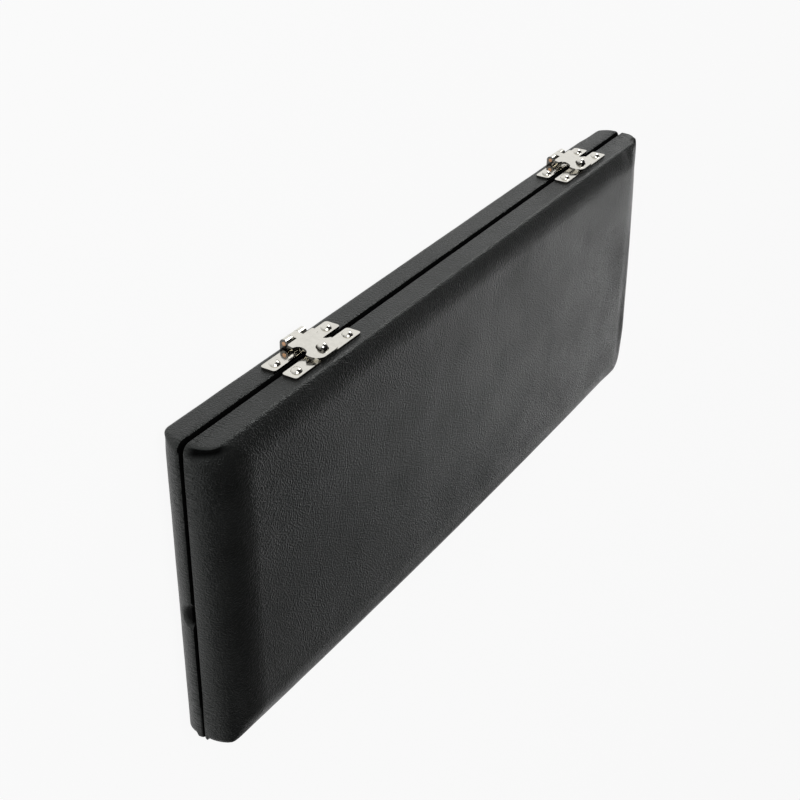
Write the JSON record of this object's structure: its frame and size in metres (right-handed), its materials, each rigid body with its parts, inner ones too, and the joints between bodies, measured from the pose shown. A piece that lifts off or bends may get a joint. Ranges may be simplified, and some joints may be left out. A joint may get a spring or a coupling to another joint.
{
  "type": "reed case",
  "caption": "Slim two-half leather-covered oboe reed case that opens flat on back hinges, held shut by tilting hasps that drop over ball studs.",
  "frame": {"origin": "centre of the base's flat underside, on which the closed case lies", "axes": "+X along the length towards the end with the thumb notch, -Y the latch side, +Y the hinge side, +Z from the base to the lid"},
  "size_m": [0.25, 0.1009, 0.022],
  "materials": {
    "black_leather": "smooth black calf, semi-matt",
    "birch_wood": "plain",
    "velvet": "short pile",
    "brass": "polished",
    "pin_brass": "bare wire end",
    "nickel": "polished nickel plate"
  },
  "bodies": {
    "base": {"base_shell": "birch_wood", "base_leather": "black_leather", "base_lining": "velvet", "base_peg_rail": "birch_wood", "base_reed_pegs": "brass", "base_reed_cushion": "velvet", "left_hasp_plate": "nickel", "right_hasp_plate": "nickel", "left_hasp_pin": "pin_brass", "right_hasp_pin": "pin_brass", "hasp_plate_nails": "nickel", "left_hinge_base_leaf": "nickel", "right_hinge_base_leaf": "nickel", "left_hinge_pin": "pin_brass", "right_hinge_pin": "pin_brass", "hinge_base_nails": "nickel"},
    "lid": {"lid_shell": "birch_wood", "lid_leather": "black_leather", "lid_lining": "velvet", "lid_peg_rail": "birch_wood", "lid_reed_pegs": "brass", "lid_reed_cushion": "velvet", "left_strike_plate": "nickel", "right_strike_plate": "nickel", "left_ball_stud": "nickel", "right_ball_stud": "nickel", "strike_plate_nails": "nickel", "left_hinge_lid_leaf": "nickel", "right_hinge_lid_leaf": "nickel", "hinge_lid_nails": "nickel"},
    "left_hasp": {"left_hasp": "nickel"},
    "right_hasp": {"right_hasp": "nickel"}
  },
  "joints": [
    {"name": "lid_hinge", "type": "hinge", "parent": "base", "child": "lid", "pos_m": [0, 0.0485, 0.011], "axis": [-1, 0, 0], "range_deg": [0, 180]},
    {"name": "left_hasp_pivot", "type": "hinge", "parent": "base", "child": "left_hasp", "pos_m": [-0.0835, -0.0499, 0.00515], "axis": [1, 0, 0], "range_deg": [0, 116]},
    {"name": "right_hasp_pivot", "type": "hinge", "parent": "base", "child": "right_hasp", "pos_m": [0.0705, -0.0499, 0.00515], "axis": [1, 0, 0], "range_deg": [0, 116]}
  ]
}
